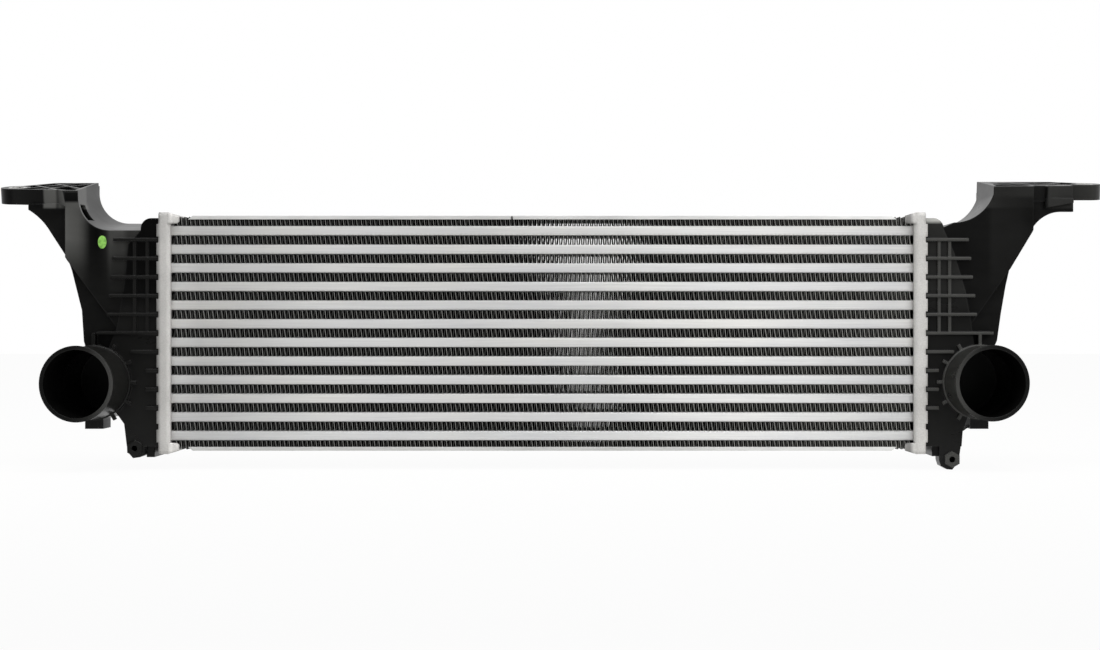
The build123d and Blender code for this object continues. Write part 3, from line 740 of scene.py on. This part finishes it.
floor_finish, tree, shader = make_finish("pale_floor", grey(0.8), 0.0, 0.9, 0.0)
backward = climb_along(tree, "Y", *floor_depths)
tree.links.new(tones(tree, backward, nylon_greys([(0.0, 0.3), (1.0, 0.8)])),
               shader.inputs["Base Color"])
glow = tree.nodes.new("ShaderNodeEmission")
glow.inputs["Color"].default_value = (1, 1, 1, 1)
mix = tree.nodes.new("ShaderNodeMixShader")
tree.links.new(product(tree, pale_stage(tree, backward), floor_glow), mix.inputs[0])
tree.links.new(shader.outputs[0], mix.inputs[1])
tree.links.new(glow.outputs[0], mix.inputs[2])
tree.links.new(mix.outputs[0], tree.nodes["Material Output"].inputs["Surface"])

floor = mesh_piece("floor", [(-floor_reach, -floor_reach, floor_height),
                             (floor_reach, -floor_reach, floor_height),
                             (floor_reach, floor_reach, floor_height),
                             (-floor_reach, floor_reach, floor_height)], [(0, 1, 2, 3)])
floor.data.materials.append(floor_finish)

world = bpy.data.worlds.new("white_surround")
bpy.context.scene.world = world
world.use_nodes = True
tree = world.node_tree
around = tree.nodes.new("ShaderNodeTexCoord")
split = tree.nodes.new("ShaderNodeSeparateXYZ")
tree.links.new(around.outputs["Generated"], split.inputs["Vector"])

# The surround's light comes most from the front, and somewhat more from the right.
fill = remap(tree, split.outputs["Y"], -1.0, 0.2, 0.95, 0.28)
lean = remap(tree, split.outputs["X"], -0.7, 0.7, 0.92, 1.42)
plain = tree.nodes["Background"]
plain.inputs["Color"].default_value = (1, 1, 1, 1)
tree.links.new(product(tree, fill, lean), plain.inputs["Strength"])

# Seen straight on it is white. In reflections it is white at the back and dim in front.
depth = remap(tree, split.outputs["Y"], -0.85, 0.15, 0.08, 1.0, "SMOOTHSTEP")
path = tree.nodes.new("ShaderNodeLightPath")
white = tree.nodes.new("ShaderNodeBackground")
white.inputs["Color"].default_value = (1, 1, 1, 1)
tree.links.new(chain(tree, "MAXIMUM", (depth, path.outputs["Is Camera Ray"])),
               white.inputs["Strength"])
mix = tree.nodes.new("ShaderNodeMixShader")
tree.links.new(pale_stage(tree), mix.inputs[0])
tree.links.new(plain.outputs[0], mix.inputs[1])
tree.links.new(white.outputs[0], mix.inputs[2])
tree.links.new(mix.outputs[0], tree.nodes["World Output"].inputs["Surface"])


def soft_lamp(name, place, aim, width, height, power):
    """An area lamp at a place, in metres, that faces the point aimed at."""
    light = bpy.data.lights.new(name, "AREA")
    light.shape = "RECTANGLE"
    light.size = width
    light.size_y = height
    light.energy = power
    lamp = bpy.data.objects.new(name, light)
    bpy.context.scene.collection.objects.link(lamp)
    way = np.array(aim, float) - np.array(place, float)
    lamp.location = place
    pitch = math.acos(-way[2] / np.linalg.norm(way))
    lamp.rotation_euler = (pitch, 0, math.atan2(way[1], way[0]) - math.pi / 2)


soft_lamp("top_lamp", (0.0, -0.6, 1.5), (0, 0, 0), 1.6, 0.9, 20)
soft_lamp("front_lamp", (1.4, -2.3, 1.2), (0.1, 0, 0), 1.2, 0.8, 12)
soft_lamp("left_lamp", (-1.9, -1.5, 0.5), (-0.2, 0, 0), 0.8, 1.0, 1.5)
soft_lamp("right_lamp", (2.0, -1.5, 0.1), (0.2, 0, 0), 0.9, 1.2, 4)

view = bpy.data.cameras.new("front_view")
view.sensor_width = sensor_width
view.lens = focal_length / frame_width * sensor_width
view.shift_x = camera_shift
view.clip_start = 0.05
camera = bpy.data.objects.new("front_view", view)
camera.location = camera_place
camera.rotation_euler = (math.pi / 2, 0, 0)
bpy.context.scene.collection.objects.link(camera)
bpy.context.scene.camera = camera
bpy.context.scene.view_settings.view_transform = "Standard"
